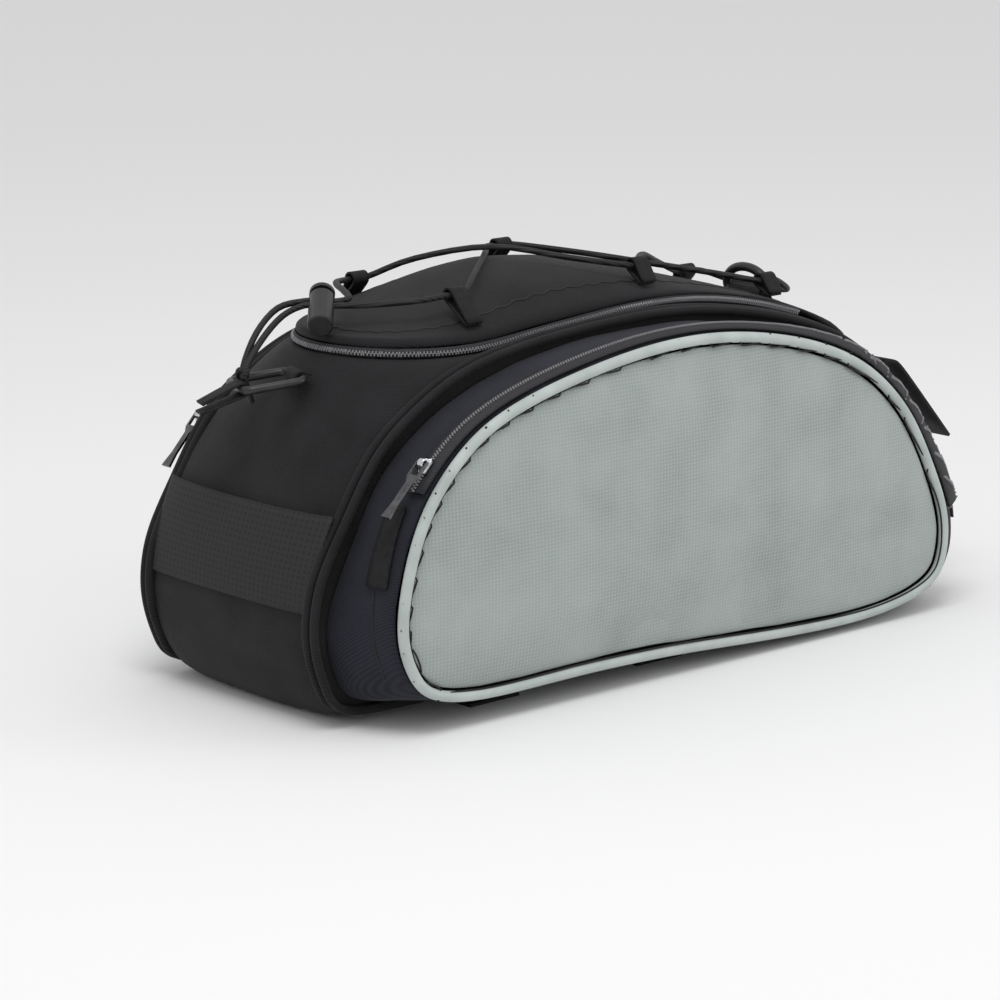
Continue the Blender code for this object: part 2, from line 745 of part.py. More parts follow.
def make_cord(material, collection):
    data = bpy.data.curves.new("lid_cord", "CURVE")
    data.dimensions = "3D"
    data.bevel_depth = CORD_RADIUS
    data.bevel_resolution = 2
    data.use_fill_caps = True
    points = smooth_course(CORD_ROUTE, CORD_SPACING)
    spline = data.splines.new("POLY")
    spline.points.add(len(points) - 1)
    for target, point in zip(spline.points, points):
        target.co = (*point, 1.0)
    data.materials.append(material)
    thing = bpy.data.objects.new("lid_cord", data)
    collection.objects.link(thing)
    return thing


def axis_frame(place, main, side):
    """Frame at a place with Z along main and X as near as possible to side."""
    z = Vector(main).normalized()
    x = Vector(side)
    x = (x - z * x.dot(z)).normalized()
    turn = Matrix((x, z.cross(x), z)).transposed().to_4x4()
    return Matrix.Translation(Vector(place)) @ turn


def turned(name, profile, steps, material, collection):
    """A solid turned about Z from a profile that starts and ends on the axis."""
    mesh = bpy.data.meshes.new(name)
    work = bmesh.new()
    verts = [work.verts.new((radius, 0.0, height)) for radius, height in profile]
    for low, high in zip(verts, verts[1:]):
        work.edges.new((low, high))
    work.to_mesh(mesh)
    work.free()
    thing = add_object(name, mesh, material, collection)
    screw = thing.modifiers.new("turn", "SCREW")
    screw.steps = steps
    screw.render_steps = steps
    screw.use_merge_vertices = True
    screw.merge_threshold = 0.0001
    screw.use_smooth_shade = True
    return thing


def box(name, size, place, material, collection):
    mesh = bpy.data.meshes.new(name)
    work = bmesh.new()
    bmesh.ops.create_cube(work, size=1.0, matrix=Matrix.Translation(place) @ Matrix.Diagonal((*size, 1.0)))
    work.to_mesh(mesh)
    work.free()
    return add_object(name, mesh, material, collection)


def cut_slot(thing, height, middle, material, cutters):
    size = (4 * LOCK_RADIUS, LOCK_SLOT, height)
    cutter = box(thing.name + "_slot", size, Vector((0, 0, middle)), material, cutters)
    cutter.hide_render = True
    cutter.display_type = "WIRE"
    cutter.parent = thing
    cut = thing.modifiers.new("slot", "BOOLEAN")
    cut.operation = "DIFFERENCE"
    cut.object = cutter


def make_lock(material, cap_material, collection, cutters):
    """The barrel and its sprung button, Z from the cap down to the foot."""
    top = -LOCK_LENGTH / 2
    shoulder = top + LOCK_CAP + LOCK_TRAVEL + GAP
    slot = top + LOCK_SLOT_DROP
    stem_end = slot + LOCK_SLOT_HEIGHT / 2 + LOCK_TRAVEL + 0.003
    bore_end = stem_end + LOCK_TRAVEL + GAP
    foot = LOCK_LENGTH / 2
    edge = 0.0006
    barrel = turned("cord_lock_barrel", (
        (0.0, bore_end), (LOCK_BORE, bore_end), (LOCK_BORE, shoulder), (LOCK_RADIUS, shoulder),
        (LOCK_RADIUS, foot - edge), (LOCK_RADIUS - edge, foot), (0.0, foot)),
        24, material, collection)
    button = turned("cord_lock_button", (
        (0.0, top), (LOCK_RADIUS - edge, top), (LOCK_RADIUS, top + edge), (LOCK_RADIUS, top + LOCK_CAP),
        (LOCK_STEM, top + LOCK_CAP), (LOCK_STEM, stem_end), (0.0, stem_end)),
        24, cap_material, collection)
    frame = axis_frame(LOCK_MIDDLE, LOCK_COURSE, LOCK_CORDS)
    cut_slot(barrel, LOCK_SLOT_HEIGHT, slot, material, cutters)
    cut_slot(button, LOCK_SLOT_HEIGHT + LOCK_TRAVEL, slot - LOCK_TRAVEL / 2, material, cutters)
    for thing in (barrel, button):
        thing.matrix_world = frame


def rounded_outline(length, width, corner, steps):
    points = []
    for quarter in range(4):
        sign_x = 1 if quarter in (0, 3) else -1
        sign_y = 1 if quarter in (0, 1) else -1
        middle = Vector((sign_x * (length / 2 - corner), sign_y * (width / 2 - corner)))
        for step in range(steps + 1):
            angle = math.pi / 2 * (quarter + step / steps)
            points.append(middle + Vector((math.cos(angle), math.sin(angle))) * corner)
    return points


def make_front_ring(metal, webbing, collection):
    turn = Matrix.Rotation(math.radians(FRONT_RING_TURN), 4, "Z")
    tilt = Matrix.Rotation(math.radians(FRONT_RING_TILT), 4, "Y")
    frame = Matrix.Translation(Vector(FRONT_RING_PLACE)) @ turn @ tilt
    bar = FRONT_RING_BAR
    outline = rounded_outline(FRONT_RING_LENGTH - 2 * bar, FRONT_RING_WIDTH - 2 * bar,
                              FRONT_RING_CORNER, 4)
    points = [Vector((p.x, p.y, 0.0)) for p in outline]
    ring = closed_tube("front_ring", points, bar, metal, collection)
    ring.matrix_world = frame
    end = FRONT_RING_LENGTH / 2 - bar
    reach = bar + 2 * GAP + TAB_WEBBING / 2
    ply = TAB_WEBBING / 2 + GAP
    tab = wrap_course(end, reach, (end + 0.0044, ply), (end + 0.0034, -ply), 6)
    make_ribbon("front_tab", tab, FRONT_TAB_WIDTH, TAB_WEBBING, frame, webbing, collection)
    strap = wrap_course(-end, reach, (-end - 0.0190, -0.0036), (-end - 0.0200, -0.0078), 6)
    side = Matrix.Translation(Vector((0.0, -FRONT_RING_WIDTH / 2 + 0.0100, 0.0)))
    make_ribbon("front_strap", strap, FRONT_STRAP_WIDTH, TAB_WEBBING, frame @ side, webbing, collection)


def make_rear_ring(metal, webbing, collection):
    x = along(REAR_RING_ALONG)
    bar = REAR_RING_BAR
    reach = bar + 2 * GAP + TAB_WEBBING / 2
    middle = BASE_Z + lid_height(x, 0.0) + 3 * GAP + TAB_WEBBING + bar
    half = REAR_RING_WIDTH / 2 - bar
    rise = REAR_RING_HEIGHT - 2 * bar
    points = [Vector((0.0, -half, 0.0)), Vector((0.0, 0.0, 0.0)), Vector((0.0, half, 0.0))]
    for step in range(11):
        angle = math.pi * step / 10
        points.append(Vector((0.0, half * math.cos(angle), rise * (0.30 + 0.70 * math.sin(angle)))))
    ring = closed_tube("rear_ring", points, bar, metal, collection)
    ring.location = (x, 0.0, middle)
    ring.rotation_euler = (0.0, math.radians(REAR_RING_LEAN), 0.0)
    upper = []
    lower = []
    for step in range(4):
        place = x + 0.007 + REAR_TAB_LENGTH * (3 - step) / 3
        height = BASE_Z + lid_height(place, 0.0) + GAP + TAB_WEBBING / 2 + 0.0004 - middle
        lower.append((place - x, height))
        upper.append((place - x, height + TAB_WEBBING + GAP))
    course = upper
    for step in range(9):
        angle = math.radians(20 + 250 * step / 8)
        course.append((reach * math.cos(angle), reach * math.sin(angle)))
    course += reversed(lower)
    frame = Matrix.Translation(Vector((x, 0.0, middle)))
    make_ribbon("rear_tab", course, REAR_TAB_WIDTH, TAB_WEBBING, frame, webbing, collection)


def flat_outline(name, outlines, thickness, material, collection):
    """A flat plate from closed outlines, the later ones being holes."""
    data = bpy.data.curves.new(name, "CURVE")
    data.dimensions = "2D"
    data.fill_mode = "BOTH"
    data.extrude = thickness / 2
    for outline in outlines:
        spline = data.splines.new("POLY")
        spline.points.add(len(outline) - 1)
        for target, point in zip(spline.points, outline):
            target.co = (point[0], point[1], 0.0, 1.0)
        spline.use_cyclic_u = True
    data.materials.append(material)
    thing = bpy.data.objects.new(name, data)
    collection.objects.link(thing)
    return thing


def make_slider(name, place, normal, course, metal, pull_metal, collection):
    """A zip slider and its pull; normal points off the tape, and the pull
    lies along course."""
    n = Vector(normal).normalized()
    t = Vector(course).normalized()
    w = n.cross(t)
    half = SLIDER_LENGTH / 2
    body = [(-half, 0.0), (half, 0.0), (half, SLIDER_BASE * 0.7), (half * 0.75, SLIDER_BASE)]
    crown = SLIDER_TOP - SLIDER_AXIS
    for step in range(7):
        angle = math.pi * step / 6
        body.append((crown * 1.25 * math.cos(angle), SLIDER_AXIS + crown * math.sin(angle)))
    body += [(-half * 0.75, SLIDER_BASE), (-half, SLIDER_BASE * 0.7)]
    hole = []
    for step in range(12):
        angle = math.tau * step / 12
        hole.append((SLIDER_HOLE * math.cos(angle), SLIDER_AXIS + SLIDER_HOLE * math.sin(angle)))
    slider = flat_outline(name + "_slider", (body, hole), SLIDER_WIDTH, metal, collection)
    side_turn = Matrix((t, n, t.cross(n))).transposed().to_4x4()
    slider.matrix_world = Matrix.Translation(place) @ side_turn
    bar = PULL_THICKNESS / 2
    arm = PULL_EYE_WIDTH / 2 + PULL_ARM
    eye_end = PULL_EYE_LENGTH
    sole = PULL_LENGTH
    plate = [
        (-bar, -arm), (eye_end, -arm), (eye_end + 0.003, -PULL_WAIST), (sole * 0.75, -PULL_WAIST),
        (sole, -PULL_FLARE), (sole, PULL_FLARE), (sole * 0.75, PULL_WAIST),
        (eye_end + 0.003, PULL_WAIST), (eye_end, arm), (-bar, arm)]
    eye = [
        (bar, -PULL_EYE_WIDTH / 2), (eye_end - 0.001, -PULL_EYE_WIDTH / 2),
        (eye_end - 0.001, PULL_EYE_WIDTH / 2), (bar, PULL_EYE_WIDTH / 2)]
    pull = flat_outline(name + "_pull", (plate, eye), PULL_THICKNESS, pull_metal, collection)
    plate_turn = Matrix((t, w, t.cross(w))).transposed().to_4x4()
    pull.matrix_world = Matrix.Translation(place + n * SLIDER_AXIS) @ plate_turn


def make_pouch_slider(pouch, metal, pull_metal, collection):
    depth = 1 - (POUCH_ZIP_INSET + pouch.zip_width / 2) / pouch.depth
    plan = pouch_rib(pouch, depth)
    index = 2 * POUCH_SLIDER_ROW
    normal = outline_normals(plan)[index]
    lift = 2 * GAP + ZIP_COIL + POUCH_ZIP_TAPE + GAP
    at = plan[index] + normal * lift
    course = plan[index - 3] - plan[index]
    course -= normal * course.dot(normal)
    place = Vector((at.x, pouch_y(pouch, pouch.depth * depth), at.y))
    make_slider(pouch.name + "_pouch", place, (normal.x, 0.0, normal.y), (course.x, 0.0, course.y),
                metal, pull_metal, collection)


def make_lid_slider(metal, pull_metal, collection):
    x = along(LID_SLIDER_ALONG)
    wide = SIDE_Y * BODY_ROWS[-1].wide
    lean = SLIDER_WIDTH / 2 * math.sin(LID_SLIDER_LEAN)
    place = Vector((x, wide + ZIP_COIL + GAP + lean, BASE_Z + rim_height(x) + lean))
    slope = rim_height(x + 0.002) - rim_height(x - 0.002)
    normal = Vector((0.0, math.cos(LID_SLIDER_LEAN), math.sin(LID_SLIDER_LEAN)))
    course = Vector((0.004, 0.0, slope))
    course -= normal * course.dot(normal)
    make_slider("lid", place, normal, course, metal, pull_metal, collection)


def make_front_pocket(material, collection):
    """A mesh pocket that lies on the body's front."""
    rows = []
    for step in range(4):
        share = POCKET_FOOT + (POCKET_HEAD - POCKET_FOOT) * step / 3
        row = BodyRow(*(read_rows(BODY_ROWS, column, share) for column in BodyRow._fields))
        lift = POCKET_SHEET + POCKET_BULGE * step / 3
        points = []
        plan = ring_plan(row)
        for column in range(1, FRONT_COLUMNS):
            course = (plan[column + 1] - plan[column - 1]).normalized()
            outward = Vector((-course.y, course.x))
            place = plan[column] + outward * lift
            height = row.up * rim_height(plan[column].x)
            points.append(Vector((place.x, place.y, BASE_Z + height)))
        rows.append(points)
    mesh = grid_mesh("front_pocket", rows, closed=False)
    face_away(mesh, Vector((0, 0, RIM_HEIGHT / 2)))
    thing = add_object("front_pocket", mesh, material, collection)
    thicken(thing, POCKET_SHEET)
    return thing


def make_rear_strap(material, collection):
    frame = Matrix.Translation(Vector((0.0, REAR_STRAP_MIDDLE, 0.0)))
    make_ribbon("rear_strap", REAR_STRAP_COURSE, REAR_STRAP_WIDTH, REAR_STRAP_THICKNESS, frame,
                material, collection)


def build():
    clear_scene()
    parts = make_collection("bicycle_trunk_bag")
    cutters = make_collection("cutters")
    black_cloth = make_material("black_cloth", (0.020, 0.020, 0.022), 0.85)
    black_mesh = make_material("black_mesh", (0.014, 0.014, 0.015), 0.80)
    dark_zip = make_material("dark_zip", (0.030, 0.031, 0.034), 0.55)
    grey_cloth = make_material("grey_cloth", (0.34, 0.39, 0.37), 0.75)
    grey_piping = make_material("grey_piping", (0.40, 0.45, 0.43), 0.65)
    webbing = make_material("webbing", (0.016, 0.016, 0.018), 0.80)
    elastic = make_material("elastic_cord", (0.015, 0.015, 0.016), 0.60)
    plastic = make_material("black_plastic", (0.020, 0.020, 0.021), 0.40)
    chrome = make_material("chrome_slider", (0.60, 0.61, 0.63), 0.20, 1.0)
    gunmetal = make_material("gunmetal_pull", (0.10, 0.10, 0.11), 0.35, 1.0)

    make_body(black_cloth, parts)
    make_front_pocket(black_mesh, parts)
    make_lid(black_cloth, parts)
    make_lid_zip(dark_zip, parts)
    make_lid_slider(chrome, gunmetal, parts)
    for pouch in POUCHES:
        make_edge_piping(pouch, black_cloth, parts)
        make_pouch_gusset(pouch, black_cloth, parts)
        make_pouch_zip(pouch, dark_zip, parts)
        make_pouch_slider(pouch, chrome, gunmetal, parts)
        make_pouch_piping(pouch, grey_piping, parts)
        make_pouch_panel(pouch, grey_cloth, parts)
    for loop in LOOPS:
        make_loop(loop, webbing, parts)
    make_cord(elastic, parts)
    make_lock(plastic, plastic, parts, cutters)
    make_front_ring(plastic, webbing, parts)
    make_rear_ring(plastic, webbing, parts)
    make_rear_strap(webbing, parts)
    make_base_strap("front_base_strap", 0.24, webbing, parts)
    make_base_strap("middle_base_strap", 0.50, webbing, parts)
    make_base_strap("rear_base_strap", 0.72, webbing, parts)


build()
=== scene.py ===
import math

import bmesh
import bpy
from mathutils import Matrix, Vector, noise
from mathutils.bvhtree import BVHTree


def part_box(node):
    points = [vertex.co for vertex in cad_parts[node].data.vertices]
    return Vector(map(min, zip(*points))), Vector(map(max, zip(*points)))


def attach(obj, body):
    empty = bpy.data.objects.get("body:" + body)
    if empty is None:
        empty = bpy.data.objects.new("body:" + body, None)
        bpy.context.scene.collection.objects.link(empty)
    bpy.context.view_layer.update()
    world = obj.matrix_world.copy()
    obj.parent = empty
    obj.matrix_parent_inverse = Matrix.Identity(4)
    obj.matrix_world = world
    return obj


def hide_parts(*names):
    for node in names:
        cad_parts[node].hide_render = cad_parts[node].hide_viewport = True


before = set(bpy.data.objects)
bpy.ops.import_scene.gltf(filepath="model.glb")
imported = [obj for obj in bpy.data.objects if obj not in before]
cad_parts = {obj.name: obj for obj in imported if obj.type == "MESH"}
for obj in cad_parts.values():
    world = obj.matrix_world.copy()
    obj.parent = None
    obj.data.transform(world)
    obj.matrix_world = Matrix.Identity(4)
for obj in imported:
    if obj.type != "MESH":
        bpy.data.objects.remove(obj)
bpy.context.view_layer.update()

# Camera at the photograph's place: a long lens from the left front, a little
# above the lid. Angles are in degrees, the place is in metres.
CAMERA_PLACE = (-1.1495, -1.2518, 0.4546)
CAMERA_TURN = 41.683
CAMERA_DIP = 12.910
lens = bpy.data.cameras.new("camera")
lens.lens = 129.6
lens.sensor_width = 36.0
lens.clip_start = 0.05
lens.clip_end = 50.0
camera = bpy.data.objects.new("camera", lens)
camera.location = CAMERA_PLACE
camera.rotation_euler = (math.radians(90 - CAMERA_DIP), 0.0, math.radians(-CAMERA_TURN))
bpy.context.scene.collection.objects.link(camera)
bpy.context.scene.camera = camera
bpy.context.scene.view_settings.view_transform = "Standard"

# Elastic cord, 3 mm, black braid over rubber. It runs from the front ring
# through the lock and the six loops and back to the ring, where one knot
# holds both strands.
CORD_THICKNESS = 0.0030
CORD_ROUTE = (
    (-0.1800, 0.0045, 0.1370), (-0.1838, 0.0026, 0.1440), (-0.1850, 0.0025, 0.1520),
    (-0.1720, 0.0070, 0.1635), (-0.1560, 0.0120, 0.1720), (-0.1457, 0.0091, 0.1761),
    (-0.1398, 0.0038, 0.1761), (-0.1345, -0.0009, 0.1761), (-0.1260, -0.0120, 0.1768),
    (-0.1120, -0.0290, 0.1792), (-0.0987, -0.0352, 0.1810), (-0.0883, -0.0352, 0.1812),
    (-0.0700, -0.0220, 0.1865), (-0.0400, 0.0050, 0.1892), (-0.0150, 0.0320, 0.1868),
    (-0.0004, 0.0440, 0.1843), (0.0101, 0.0440, 0.1842),
    (0.0380, 0.0220, 0.1795), (0.0600, 0.0000, 0.1750), (0.0820, -0.0260, 0.1705),
    (0.0963, -0.0409, 0.1672), (0.1068, -0.0409, 0.1670),
    (0.1240, -0.0340, 0.1600), (0.1390, -0.0180, 0.1550), (0.1460, 0.0050, 0.1530),
    (0.1485, 0.0280, 0.1530),
    (0.1440, 0.0415, 0.1562), (0.1362, 0.0441, 0.1578), (0.1257, 0.0440, 0.1580),
    (0.0950, 0.0260, 0.1680), (0.0600, 0.0010, 0.1788), (0.0380, -0.0180, 0.1815),
    (0.0206, -0.0409, 0.1838), (0.0100, -0.0409, 0.1840),
    (-0.0150, -0.0260, 0.1885), (-0.0400, 0.0000, 0.1932), (-0.0640, 0.0270, 0.1870),
    (-0.0805, 0.0440, 0.1777), (-0.0912, 0.0440, 0.1777),
    (-0.1100, 0.0300, 0.1800), (-0.1215, 0.0100, 0.1800), (-0.1268, 0.0000, 0.1785),
    (-0.1324, 0.0015, 0.1775), (-0.1376, 0.0062, 0.1775), (-0.1436, 0.0115, 0.1775),
    (-0.1550, 0.0165, 0.1750), (-0.1715, 0.0110, 0.1665), (-0.1830, 0.0062, 0.1530),
    (-0.1826, 0.0060, 0.1440), (-0.1785, 0.0078, 0.1375),
)


def flowing_line(places, between, closed=False):
    """Points on a smooth line through the places."""
    count = len(places)
    line = []
    for index in range(count if closed else count - 1):
        before = places[index - 1] if closed or index else places[0]
        low = places[index]
        high = places[(index + 1) % count]
        after = places[(index + 2) % count] if closed or index + 2 < count else high
        start = (high - before) / 2
        end = (after - low) / 2
        for step in range(between):
            t = step / between
            line.append(
                low * (2 * t**3 - 3 * t**2 + 1) + start * (t**3 - 2 * t**2 + t)
                + high * (3 * t**2 - 2 * t**3) + end * (t**3 - t**2))
    if not closed:
        line.append(places[-1])
    return line


def tube_along(name, line, radius, closed=False, sides=3):
    """Round cord or bead along a line."""
    data = bpy.data.curves.new(name, "CURVE")
    data.dimensions = "3D"
    data.bevel_depth = radius
    data.bevel_resolution = sides
    data.use_fill_caps = not closed
    spline = data.splines.new("POLY")
    spline.points.add(len(line) - 1)
    for target, place in zip(spline.points, line):
        target.co = (*place, 1.0)
    spline.use_cyclic_u = closed
    thing = bpy.data.objects.new(name, data)
    bpy.context.scene.collection.objects.link(thing)
    return thing


def new_finish(name, colour, roughness, metallic=0.0):
    """A material with the values that are the same all over it."""
    finish = bpy.data.materials.new(name)
    finish.use_nodes = True
    shader = finish.node_tree.nodes["Principled BSDF"]
    shader.inputs["Base Color"].default_value = (*colour, 1.0)
    shader.inputs["Roughness"].default_value = roughness
    shader.inputs["Metallic"].default_value = metallic
    return finish, finish.node_tree, shader


def add_bump(tree, shader, height, strength, distance):
    bump = tree.nodes.new("ShaderNodeBump")
    bump.inputs["Strength"].default_value = strength
    bump.inputs["Distance"].default_value = distance
    tree.links.new(height, bump.inputs["Height"])
    tree.links.new(bump.outputs["Normal"], shader.inputs["Normal"])


def place_of_surface(tree):
    return tree.nodes.new("ShaderNodeTexCoord").outputs["Object"]


def ribs(tree, places, way, spacing):
    """Parallel ribs with a given spacing in metres."""
    wave = tree.nodes.new("ShaderNodeTexWave")
    wave.bands_direction = way
    wave.inputs["Scale"].default_value = math.tau / 20 / spacing
    wave.inputs["Distortion"].default_value = 0.0
    tree.links.new(places, wave.inputs["Vector"])
    return wave.outputs["Fac"]


def tint_between(tree, share, low, high, shader, start=0.3, end=0.7):
    """Colour of the surface runs from low to high with share."""
    ramp = tree.nodes.new("ShaderNodeValToRGB")
    ramp.color_ramp.elements[0].position = start
    ramp.color_ramp.elements[0].color = (*low, 1.0)
    ramp.color_ramp.elements[1].position = end
    ramp.color_ramp.elements[1].color = (*high, 1.0)
    tree.links.new(share, ramp.inputs["Fac"])
    tree.links.new(ramp.outputs["Color"], shader.inputs["Base Color"])


braid, tree, shader = new_finish("braided_elastic", (0.012, 0.012, 0.013), 0.55)
places = place_of_surface(tree)
plait = ribs(tree, places, "DIAGONAL", 0.0011)
tint_between(tree, plait, (0.006, 0.006, 0.007), (0.022, 0.022, 0.024), shader)
add_bump(tree, shader, plait, 0.5, 0.0002)
shader.inputs["Specular IOR Level"].default_value = 0.3

cord_line = flowing_line([Vector(p) for p in CORD_ROUTE], 4)
lid_cord = tube_along("lacing_cord", cord_line, CORD_THICKNESS / 2)
lid_cord.data.materials.append(braid)
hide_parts("lid_cord")
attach(lid_cord, "bag")

KNOT_PLACE = Vector((-0.1847, 0.0042, 0.1507))
KNOT_SIZE = 0.00080
knot_line = []
for step in range(48):
    t = math.tau * step / 48
    knot_line.append(KNOT_PLACE + KNOT_SIZE * Vector((
        math.sin(t) + 2 * math.sin(2 * t), math.cos(t) - 2 * math.cos(2 * t), -2.2 * math.sin(3 * t))))
end_knot = tube_along("end_knot", knot_line, 0.00125, closed=True)
end_knot.data.materials.append(braid)
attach(end_knot, "bag")

# Studio: a plain pale floor that the bag rests on, pale air around it, one
# large soft lamp above the left front and a weaker one from the right.
floor_mesh = bpy.data.meshes.new("floor")
sweep = bmesh.new()
bmesh.ops.create_grid(sweep, x_segments=1, y_segments=1, size=6.0)
sweep.to_mesh(floor_mesh)
sweep.free()
floor = bpy.data.objects.new("floor", floor_mesh)
bpy.context.scene.collection.objects.link(floor)
paper, tree, shader = new_finish("pale_paper", (0.86, 0.86, 0.86), 0.9)
floor_mesh.materials.append(paper)

air = bpy.data.worlds.new("pale_air")
air.use_nodes = True
air.node_tree.nodes["Background"].inputs["Color"].default_value = (1.0, 1.0, 1.0, 1.0)
air.node_tree.nodes["Background"].inputs["Strength"].default_value = 0.75
bpy.context.scene.world = air


def soft_lamp(name, place, aim, size, power):
    light = bpy.data.lights.new(name, "AREA")
    light.shape = "DISK"
    light.size = size
    light.energy = power
    lamp = bpy.data.objects.new(name, light)
    lamp.location = place
    lamp.rotation_euler = (Vector(aim) - Vector(place)).to_track_quat("-Z", "Y").to_euler()
    bpy.context.scene.collection.objects.link(lamp)


soft_lamp("top_lamp", (-0.5, -0.5, 1.6), (0.0, 0.0, 0.1), 0.9, 10.0)
soft_lamp("side_lamp", (1.2, -1.2, 0.8), (0.0, 0.0, 0.1), 0.8, 4.0)

# Body: padded black twill, sewn as one shell with an open top. The cloth is
# a little slack between its seams, with creases low on the front.
BODY_BLACK = (0.0045, 0.0045, 0.0052)
# The twill's pale colour shows both its weave and a painted highlight.
BODY_BLACK_WEAVE_AND_HIGHLIGHT = (0.0165, 0.0165, 0.0185)


def refined(node, name, levels, swell=0.0, crisp=None):
    """A finer copy of a solid: its flat faces become a smooth surface."""
    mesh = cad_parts[node].data.copy()
    mesh.materials.clear()
    work = bmesh.new()
    work.from_mesh(mesh)
    bmesh.ops.remove_doubles(work, verts=work.verts, dist=2e-5)
    bmesh.ops.join_triangles(
        work, faces=work.faces, angle_face_threshold=math.radians(50),
        angle_shape_threshold=math.radians(60))
    work.normal_update()
    if crisp is not None:
        crease = work.edges.layers.float.new("crease_edge")
        for edge in work.edges:
            if len(edge.link_faces) == 2 and edge.calc_face_angle() > math.radians(crisp):
                edge[crease] = 1.0
    if swell:
        for vert in work.verts:
            vert.co += vert.normal * swell
    work.to_mesh(mesh)
    work.free()
    coarse = bpy.data.objects.new(name + "_coarse", mesh)
    bpy.context.scene.collection.objects.link(coarse)
    smooth = coarse.modifiers.new("smooth", "SUBSURF")
    smooth.levels = levels
    smooth.render_levels = levels
    view = bpy.context.evaluated_depsgraph_get()
    fine = bpy.data.meshes.new_from_object(coarse.evaluated_get(view))
    bpy.data.objects.remove(coarse, do_unlink=True)
    fine.name = name
    fine.shade_smooth()
    thing = bpy.data.objects.new(name, fine)
    bpy.context.scene.collection.objects.link(thing)
    return thing


def slacken(thing, amount, scale, seed, dents=()):
    """Moves the cloth in and out, softly and without a pattern. A dent is a
    place, its reach along each axis and a depth."""
    outward = [vert.normal.copy() for vert in thing.data.vertices]
    for vert, normal in zip(thing.data.vertices, outward):
        at = vert.co * scale + Vector((seed, seed * 0.7, 0.0))
        rise = noise.noise(at) + 0.5 * noise.noise(at * 2.3) + 0.25 * noise.noise(at * 5.1)
        move = amount * rise
        for place, reach, depth in dents:
            away = Vector((a - b) / c for a, b, c in zip(vert.co, place, reach)).length
            if away < 1:
                move -= depth * (1 - away * away) ** 2
        vert.co += normal * move
    thing.data.update()


def mottle(tree, places, scale, detail=3.0):
    cloud = tree.nodes.new("ShaderNodeTexNoise")
    cloud.inputs["Scale"].default_value = scale
    cloud.inputs["Detail"].default_value = detail
    tree.links.new(places, cloud.inputs["Vector"])
    return cloud.outputs["Fac"]


def combine(tree, first, second, way="MULTIPLY"):
    sum_up = tree.nodes.new("ShaderNodeMath")
    sum_up.operation = way
    tree.links.new(first, sum_up.inputs[0])
    tree.links.new(second, sum_up.inputs[1])
    return sum_up.outputs[0]


def twill(name, low, high, spacing=0.00105, bump=0.60):
    """Black twill: fine slanted ribs, and random paler areas that are painted highlight."""
    finish, tree, shader = new_finish(name, high, 0.82)
    places = place_of_surface(tree)
    slant = ribs(tree, places, "DIAGONAL", spacing * 0.58)
    thread = mottle(tree, places, 1800.0, 1.0)
    weave = combine(tree, slant, thread)
    # Random paler patches: painted highlight on the black cloth.
    highlight_patches = mottle(tree, places, 38.0)
    tint_between(tree, combine(tree, weave, highlight_patches, "ADD"), low, high, shader, 0.35, 0.9615)
    add_bump(tree, shader, weave, bump, 0.0003)
    shader.inputs["Sheen Weight"].default_value = 0.05
    shader.inputs["Sheen Roughness"].default_value = 0.5
    shader.inputs["Specular IOR Level"].default_value = 0.22
    return finish


body_twill = twill("black_twill", BODY_BLACK, BODY_BLACK_WEAVE_AND_HIGHLIGHT)
body = refined("body_shell", "body_cloth", 2, crisp=38)
slacken(body, 0.0007, 22.0, 3.1, dents=(
    ((-0.193, -0.020, 0.025), (0.030, 0.050, 0.010), 0.0014),
    ((-0.196, 0.025, 0.040), (0.030, 0.040, 0.009), 0.0012),
    ((-0.180, -0.010, 0.120), (0.030, 0.045, 0.012), 0.0012),
    ((0.196, 0.010, 0.060), (0.030, 0.060, 0.030), 0.0020)))
body.data.materials.append(body_twill)
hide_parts("body_shell")
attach(body, "bag")

# Front pocket: coarse black knit mesh in one band, sewn flat across the
# front panel.
mesh_knit, tree, shader = new_finish("knit_mesh", (0.010, 0.010, 0.011), 0.75)
places = place_of_surface(tree)
holes = combine(tree, ribs(tree, places, "Y", 0.0030), ribs(tree, places, "Z", 0.0026))
tint_between(tree, holes, (0.0105, 0.0105, 0.0115), (0.002, 0.002, 0.002), shader, 0.35, 0.75)
add_bump(tree, shader, holes, -0.9, 0.0008)
pocket = refined("front_pocket", "front_mesh_pocket", 2, crisp=50)
pocket.data.materials.append(mesh_knit)
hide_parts("front_pocket")
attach(pocket, "bag")

# Lid: padded black twill, domed over the front half and sewn to the body
# at the rear.
lid = refined("lid_shell", "lid_cloth", 2)
slacken(lid, 0.0005, 30.0, 7.7)
lid.data.materials.append(body_twill)
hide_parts("lid_shell")
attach(lid, "bag")

# Lid zip: woven tape with a chunky black coil. The coil's two rows of teeth
# are coloured grey as painted highlight along the front and the sides; the rear is the lid's hinge.
ZIP_TOOTH_SPACING = 0.00155
ZIP_TAPE_DARK = (0.010, 0.010, 0.012)
zip_tape, tree, shader = new_finish("zip_tape", ZIP_TAPE_DARK, 0.7)
places = place_of_surface(tree)
weft = ribs(tree, places, "DIAGONAL", 0.0009)
tint_between(tree, weft, (0.007, 0.007, 0.009), (0.020, 0.020, 0.024), shader)
add_bump(tree, shader, weft, 0.4, 0.0002)
# The black coil's teeth are coloured grey: painted highlight.
tooth_painted_highlight, tree, shader = new_finish("tooth_painted_highlight", (0.20, 0.20, 0.21), 0.28)
add_bump(tree, shader, mottle(tree, place_of_surface(tree), 1500.0), 0.2, 0.0001)
shader.inputs["Specular IOR Level"].default_value = 0.7


